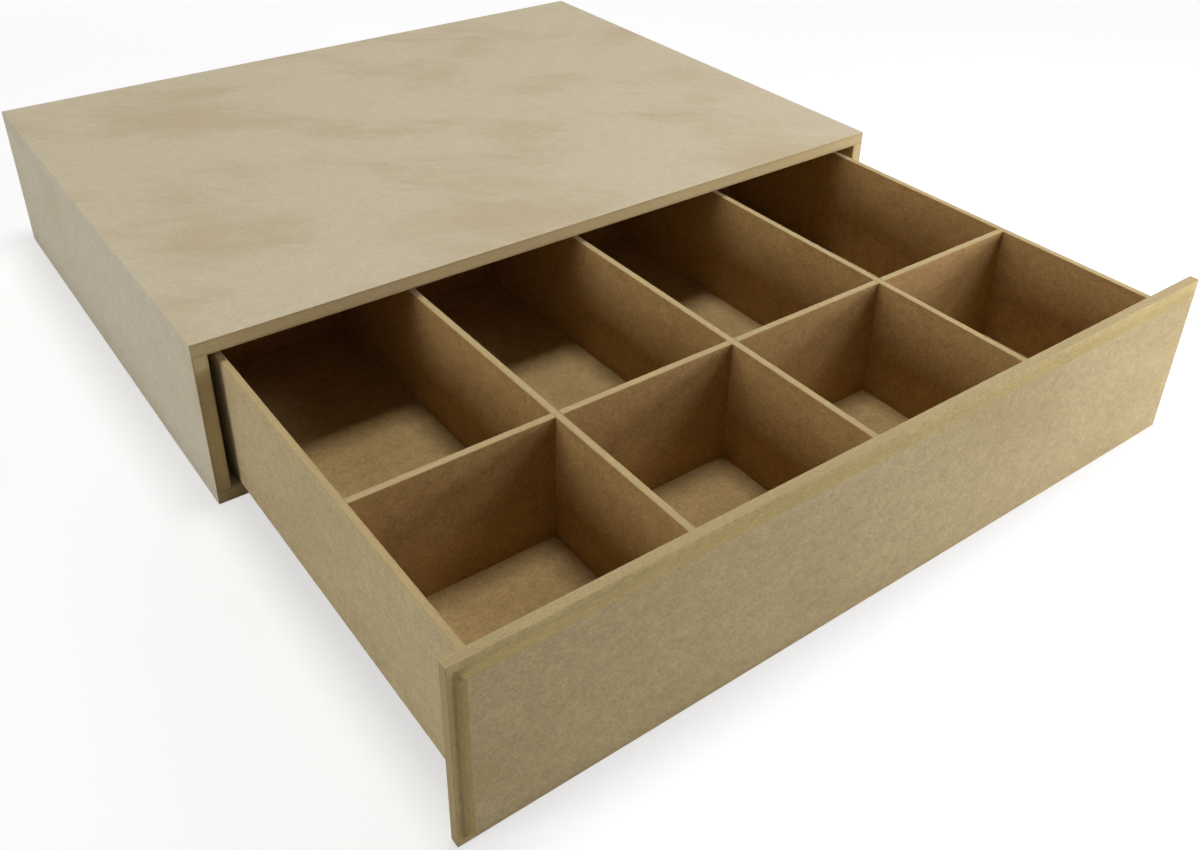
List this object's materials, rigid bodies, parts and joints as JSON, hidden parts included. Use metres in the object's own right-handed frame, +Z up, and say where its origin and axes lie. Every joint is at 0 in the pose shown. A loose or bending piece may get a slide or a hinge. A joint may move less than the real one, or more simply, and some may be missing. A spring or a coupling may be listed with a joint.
{
  "type": "cash box",
  "caption": "Flat raw fibreboard cash box with one sliding drawer, divided into square coin trays at the front and long note trays behind, with a cove-edged front.",
  "frame": {"origin": "middle of the case's underside", "axes": "+X to the right, +Y to the back, +Z up; the drawer opens towards -Y"},
  "size_m": [0.35, 0.455, 0.074],
  "materials": {
    "raw_board": "matte",
    "front_board": "matte",
    "thin_board": "matte",
    "brad_steel": "satin"
  },
  "bodies": {
    "case": {"top_panel": "raw_board", "bottom_panel": "raw_board", "left_side_panel": "raw_board", "right_side_panel": "raw_board", "back_panel": "raw_board", "bottom_panel_brads": "brad_steel"},
    "drawer": {"drawer_front_panel": "front_board", "drawer_inner_front": "thin_board", "drawer_left_side": "thin_board", "drawer_right_side": "thin_board", "drawer_back": "thin_board", "drawer_floor": "thin_board", "cross_divider": "thin_board", "long_divider_left": "thin_board", "long_divider_middle": "thin_board", "long_divider_right": "thin_board"}
  },
  "joints": [
    {"name": "drawer_slide", "type": "slide", "parent": "case", "child": "drawer", "axis": [0, -1, 0], "range_m": [-0.1787, 0.041]}
  ]
}
